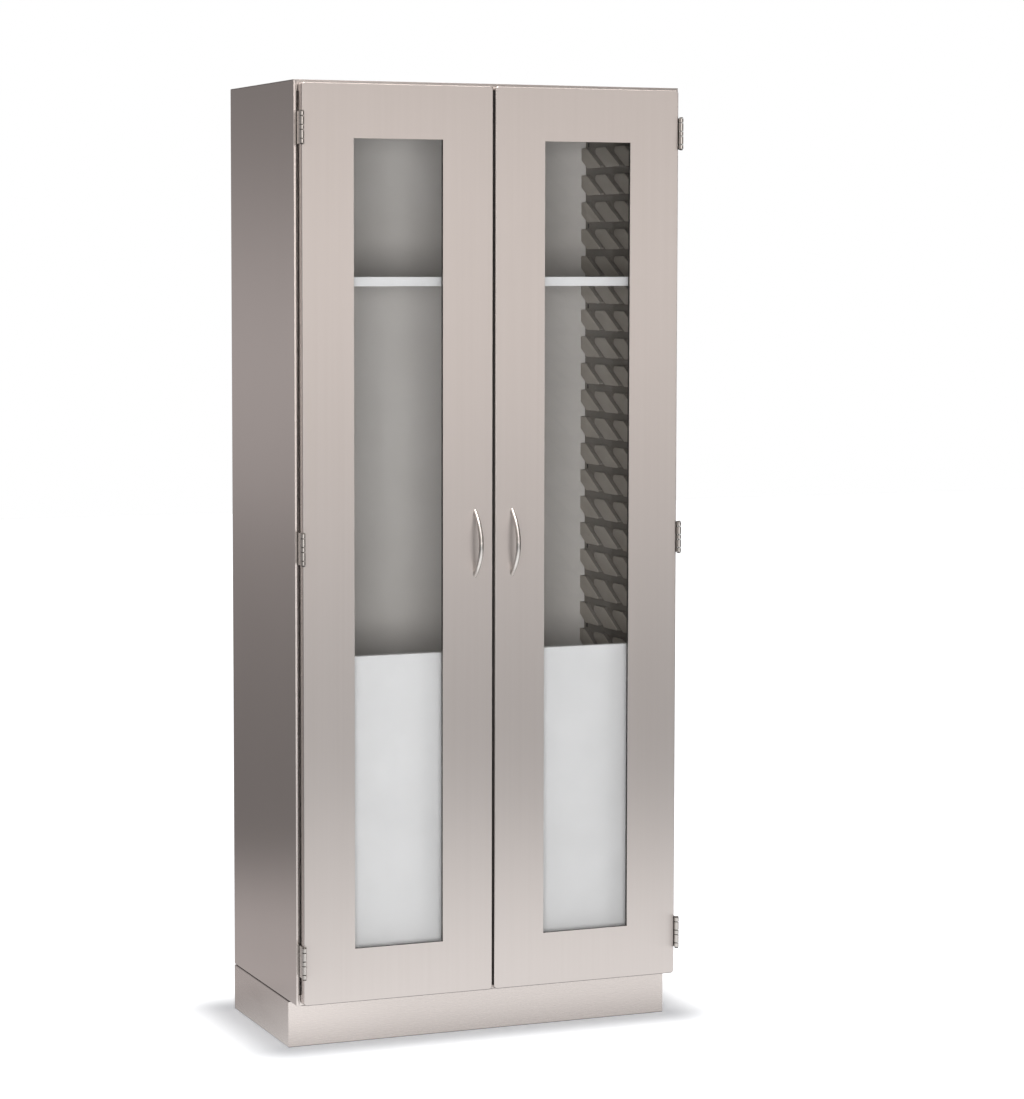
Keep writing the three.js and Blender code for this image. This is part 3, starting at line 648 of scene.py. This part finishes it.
def bow_bar(name, node):
    """Sweeps a round section along the bow between the node's ends and its front."""
    low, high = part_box(node)
    middle = (low + high) / 2.0
    half_span = HANDLE_SPAN / 2.0
    bow = high.y - low.y - BAR_MIDDLE_RADIUS
    sideways = Vector((1.0, 0.0, 0.0))
    shape = bmesh.new()
    rings = []
    for step in range(BAR_STEPS + 1):
        along = 2.0 * step / BAR_STEPS - 1.0
        swell = math.cos(0.5 * math.pi * along)
        radius = BAR_END_RADIUS + (BAR_MIDDLE_RADIUS - BAR_END_RADIUS) * swell
        share = HANDLE_RUN_IN * along
        centre = Vector((middle.x, high.y - bow * (1.0 - share * share), middle.z + share * half_span))
        slope = Vector((0.0, 2.0 * bow * share, half_span)).normalized()
        outward = sideways.cross(slope)
        ring = []
        for side in range(BAR_SIDES):
            turn = 2.0 * math.pi * side / BAR_SIDES
            spoke = math.cos(turn) * sideways + math.sin(turn) * outward
            ring.append(shape.verts.new(centre + radius * spoke))
        rings.append(ring)
    for ring, following in zip(rings, rings[1:]):
        for side in range(BAR_SIDES):
            after = (side + 1) % BAR_SIDES
            shape.faces.new((ring[side], ring[after], following[after], following[side]))
    shape.faces.new(list(reversed(rings[0])))
    shape.faces.new(rings[-1])
    everything = shape.verts[:] + shape.edges[:] + shape.faces[:]
    bmesh.ops.bisect_plane(shape, geom=everything, plane_co=high, plane_no=(0, 1, 0), clear_outer=True)
    bmesh.ops.holes_fill(shape, edges=[edge for edge in shape.edges if edge.is_boundary])
    bmesh.ops.recalc_face_normals(shape, faces=shape.faces)
    mesh = bpy.data.meshes.new(name)
    shape.to_mesh(mesh)
    shape.free()
    mesh.shade_smooth()
    mesh.set_sharp_from_angle(angle=SHARP_ABOVE)
    piece = bpy.data.objects.new(name, mesh)
    collection.objects.link(piece)
    return settle(piece, node, bright_steel)


SCREW_EDGE = 0.6 * MILLIMETRE
for side in ("left", "right"):
    bow_bar(f"{side}_bow_handle", f"{side}_door_handle")
    for screw in ("handle_upper_screw", "handle_lower_screw"):
        finished(f"{side}_{screw}", SCREW_EDGE, bright_steel, segments=3)


# Studio
# A pale floor and a white surround, lit softly from the front left, with a little light from both
# sides. The floor keeps the lamps' shadow and a painted contact shadow by the plinth, and the steel
# mirrors a graded room and floor.

FLOOR_HALF = 14.0
floor_mesh = bpy.data.meshes.new("studio_floor")
floor_mesh.from_pydata(
    [(x, y, 0.0) for x, y in ((-1, -1), (1, -1), (1, 1), (-1, 1))], [], [(0, 1, 2, 3)]
)
floor = bpy.data.objects.new("studio_floor", floor_mesh)
floor.scale = (FLOOR_HALF, FLOOR_HALF, 1.0)
collection.objects.link(floor)
floor_finish, floor_tree, floor_shader = new_material("pale_floor")
floor_shader.inputs["Base Color"].default_value = (0.80, 0.83, 0.88, 1.0)
floor_shader.inputs["Roughness"].default_value = 0.9
floor_shader.inputs["Specular IOR Level"].default_value = 0.1
floor_shader.inputs["Emission Color"].default_value = (1.0, 1.0, 1.0, 1.0)
sight = place(floor_tree, "ShaderNodeLightPath")

# How far a point of the floor is from the plinth, whose shade is deepest where it stands
plinth_low, plinth_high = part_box("plinth_front_rail")
plinth_high = Vector((plinth_high.x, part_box("plinth_back_rail")[1].y, 0.0))
plinth_low.z = 0.0
floor_point = place(floor_tree, "ShaderNodeNewGeometry").outputs["Position"]
from_middle = place(
    floor_tree,
    "ShaderNodeVectorMath",
    {0: floor_point, 1: (plinth_low + plinth_high) / 2.0},
    operation="SUBTRACT",
).outputs["Vector"]
folded = place(floor_tree, "ShaderNodeVectorMath", {0: from_middle}, operation="ABSOLUTE")
past_edge = place(
    floor_tree,
    "ShaderNodeVectorMath",
    {0: folded.outputs["Vector"], 1: (plinth_high - plinth_low) / 2.0},
    operation="SUBTRACT",
).outputs["Vector"]
outside = place(
    floor_tree, "ShaderNodeVectorMath", {0: past_edge, 1: (0.0, 0.0, 0.0)}, operation="MAXIMUM"
).outputs["Vector"]
from_plinth = place(
    floor_tree, "ShaderNodeVectorMath", {0: outside}, operation="LENGTH"
).outputs["Value"]


def eased(tree, value, start, end, low, high):
    """A value that eases from low to high as another goes from start to end."""
    mapping = place(
        tree,
        "ShaderNodeMapRange",
        {"Value": value, "From Min": start, "From Max": end, "To Min": low, "To Max": high},
        interpolation_type="SMOOTHSTEP",
    )
    return mapping.outputs["Result"]


# Painted shadow: the white lift that the camera sees fades near the plinth, so the floor's bluish colour
# shows there as a contact shadow.
shadowed_lift = eased(floor_tree, from_plinth, 0.0, 0.17, 0.25, 1.0)
plainly_seen = place(
    floor_tree,
    "ShaderNodeMath",
    {0: sight.outputs["Is Camera Ray"], 1: sight.outputs["Is Transmission Ray"]},
    operation="MAXIMUM",
).outputs["Value"]
lift = place(floor_tree, "ShaderNodeMath", {0: plainly_seen, 1: shadowed_lift}, operation="MULTIPLY")
floor_tree.links.new(lift.outputs["Value"], floor_shader.inputs["Emission Strength"])


def graded(tree, value, stops, cast=(1.0, 0.97, 0.95)):
    """A tone that passes smoothly through (position, level) stops, with one colour cast."""
    first, last = stops[0][0], stops[-1][0]
    share = place(tree, "ShaderNodeMapRange", {"Value": value, "From Min": first, "From Max": last})
    ramp = place(tree, "ShaderNodeValToRGB", {"Fac": share.outputs["Result"]})
    ramp.color_ramp.interpolation = "EASE"
    elements = ramp.color_ramp.elements
    while len(elements) < len(stops):
        elements.new(1.0)
    for element, (position, level) in zip(elements, stops):
        element.position = (position - first) / (last - first)
        element.color = (*(level * part for part in cast), 1.0)
    return ramp.outputs["Color"]


def blended(tree, factor, near, far):
    """One colour changing into another by a factor."""
    mixer = place(tree, "ShaderNodeMix", data_type="RGBA")
    tree.links.new(factor, mixer.inputs[0])
    tree.links.new(near, mixer.inputs[6])
    tree.links.new(far, mixer.inputs[7])
    return mixer.outputs[2]


# In the steel the floor shows as a paper sweep, bright near the doors and dim further out.
floor_reach = place(
    floor_tree, "ShaderNodeVectorMath", {0: floor_point}, operation="LENGTH"
).outputs["Value"]
floor_parts = place(floor_tree, "ShaderNodeSeparateXYZ", {0: floor_point}).outputs
behind = place(
    floor_tree, "ShaderNodeMapRange", {"Value": floor_parts["Y"], "From Min": -0.4, "From Max": 0.4}
)
FRONT_CAST = (1.0, 0.985, 0.975)
sweep_front = graded(
    floor_tree, floor_reach, [(0.0, 1.14), (2.2, 1.03), (4.4, 0.68), (14.0, 0.84)], FRONT_CAST
)
BACK_CAST = (1.0, 0.925, 0.905)
sweep_back = graded(
    floor_tree, floor_reach, [(0.0, 0.64), (1.2, 0.52), (2.8, 0.22), (14.0, 0.31)], BACK_CAST
)
SIDE_LEVELS = [
    (-1.0, 0.3), (-0.75, 0.5), (-0.4, 0.9), (-0.1, 1.2), (0.0, 2.5), (0.2, 2.5), (0.27, 0.355),
    (0.6, 0.36), (0.75, 0.27), (1.0, 0.16),
]
PLAIN_CAST = (1.0, 1.0, 1.0)
floor_heading = place(floor_tree, "ShaderNodeVectorMath", {0: floor_point}, operation="NORMALIZE")
heading_parts = place(floor_tree, "ShaderNodeSeparateXYZ", {0: floor_heading.outputs["Vector"]}).outputs
far_side = graded(floor_tree, heading_parts["X"], SIDE_LEVELS, PLAIN_CAST)
near_side = graded(
    floor_tree,
    floor_parts["X"],
    [
        (-4.0, 0.3), (-1.7, 0.42), (-0.9, 0.9), (-0.4, 1.22), (0.0, 1.04), (1.1, 1.09), (1.7, 0.85),
        (2.4, 0.55), (4.0, 0.3),
    ],
    PLAIN_CAST,
)
far_off = place(
    floor_tree, "ShaderNodeMapRange", {"Value": floor_reach, "From Min": 2.5, "From Max": 5.5}
)
side_lift = blended(floor_tree, far_off.outputs["Result"], near_side, far_side)
sweep_across = place(
    floor_tree, "ShaderNodeVectorMath", {0: sweep_front, 1: side_lift}, operation="MULTIPLY"
)
sweep = blended(floor_tree, behind.outputs["Result"], sweep_across.outputs["Vector"], sweep_back)
# Painted shade: the floor that the steel mirrors is darker near the plinth.
shade = eased(floor_tree, from_plinth, 0.0, 0.36, 0.7, 1.0)
mirrored_floor = place(floor_tree, "ShaderNodeEmission", {"Color": sweep, "Strength": shade})
floor_look = place(floor_tree, "ShaderNodeMixShader", {"Fac": sight.outputs["Is Glossy Ray"]})
floor_tree.links.new(floor_shader.outputs["BSDF"], floor_look.inputs[1])
floor_tree.links.new(mirrored_floor.outputs["Emission"], floor_look.inputs[2])
floor_tree.links.new(floor_look.outputs["Shader"], floor_tree.nodes["Material Output"].inputs["Surface"])
floor_mesh.materials.append(floor_finish)

AMBIENT = 0.22
world = bpy.data.worlds.new("white_surround")
bpy.context.scene.world = world
world.use_nodes = True
sky = world.node_tree
sky.nodes.clear()
sky_sight = place(sky, "ShaderNodeLightPath")
direction = place(sky, "ShaderNodeTexCoord").outputs["Generated"]
# In the steel the room shows brightest at eye level in front, and dimmer behind the cabinet.
parts = place(sky, "ShaderNodeSeparateXYZ", {0: direction}).outputs
front_levels = graded(
    sky,
    parts["Z"],
    [(-0.09, 0.50), (-0.005, 1.05), (0.07, 0.58), (0.5, 0.76), (0.8, 0.85), (0.93, 2.4)],
)
side_levels = graded(sky, parts["X"], SIDE_LEVELS)
ROOM_LEVEL = 1.55
room_shape = place(sky, "ShaderNodeVectorMath", {0: front_levels, 1: side_levels}, operation="MULTIPLY")
front_room = place(
    sky, "ShaderNodeVectorMath", {0: room_shape.outputs["Vector"], "Scale": ROOM_LEVEL}, operation="SCALE"
).outputs["Vector"]
back_room = graded(
    sky, parts["Z"], [(-0.09, 0.41), (-0.03, 0.54), (0.05, 0.24), (0.5, 0.40), (0.8, 0.75)], BACK_CAST
)
sky_behind = place(sky, "ShaderNodeMapRange", {"Value": parts["Y"], "From Min": -0.3, "From Max": 0.5})
room = blended(sky, sky_behind.outputs["Result"], front_room, back_room)
ambient = place(sky, "ShaderNodeRGB")
ambient.outputs["Color"].default_value = (AMBIENT, AMBIENT, AMBIENT, 1.0)
white = place(sky, "ShaderNodeRGB")
white.outputs["Color"].default_value = (1.0, 1.0, 1.0, 1.0)
sky_plain = place(
    sky,
    "ShaderNodeMath",
    {0: sky_sight.outputs["Is Camera Ray"], 1: sky_sight.outputs["Is Transmission Ray"]},
    operation="MAXIMUM",
).outputs["Value"]
unseen = blended(sky, sky_sight.outputs["Is Glossy Ray"], ambient.outputs["Color"], room)
sky_colour = blended(sky, sky_plain, unseen, white.outputs["Color"])
surround = place(sky, "ShaderNodeBackground", {"Color": sky_colour, "Strength": 1.0})
place(sky, "ShaderNodeOutputWorld", {"Surface": surround.outputs["Background"]})


LAMP_TARGET = Vector((0.0, 0.0, 1.1))


def soft_lamp(name, location, size, watts):
    """An area lamp turned to the middle of the cabinet, which the steel does not mirror."""
    lamp = bpy.data.lights.new(name, "AREA")
    lamp.shape = "RECTANGLE"
    lamp.size, lamp.size_y = size
    lamp.energy = watts
    holder = bpy.data.objects.new(name, lamp)
    holder.location = location
    holder.rotation_euler = (LAMP_TARGET - Vector(location)).to_track_quat("-Z", "Y").to_euler()
    holder.visible_glossy = False
    collection.objects.link(holder)


soft_lamp("fill_right", (2.8, -4.6, 1.3), (1.8, 1.8), 15.0)
soft_lamp("broad_front", (-2.4, -6.6, 1.3), (2.4, 2.0), 318.0)
soft_lamp("fill_left", (-5.5, -4.2, 1.3), (1.6, 1.6), 15.0)

# The camera stands to the left of the doors at shoulder height, far back.
PHOTO_HEIGHT = 1099.0
FOCAL_PIXELS = 3190.7
CENTRE_ROW = 500.0
camera_lens = bpy.data.cameras.new("photo_camera")
camera_lens.sensor_fit = "VERTICAL"
camera_lens.sensor_height = 36.0
camera_lens.lens = FOCAL_PIXELS / PHOTO_HEIGHT * camera_lens.sensor_height
camera_lens.shift_y = (CENTRE_ROW - PHOTO_HEIGHT / 2.0) / PHOTO_HEIGHT
camera_lens.clip_end = 100.0
camera = bpy.data.objects.new("photo_camera", camera_lens)
camera.location = (-2.6334, -6.7832, 1.7538)
camera.rotation_euler = (math.radians(90.0 - 4.3666), math.radians(-0.1057), math.radians(-22.1798))
collection.objects.link(camera)
bpy.context.scene.camera = camera
bpy.context.scene.view_settings.view_transform = "Standard"
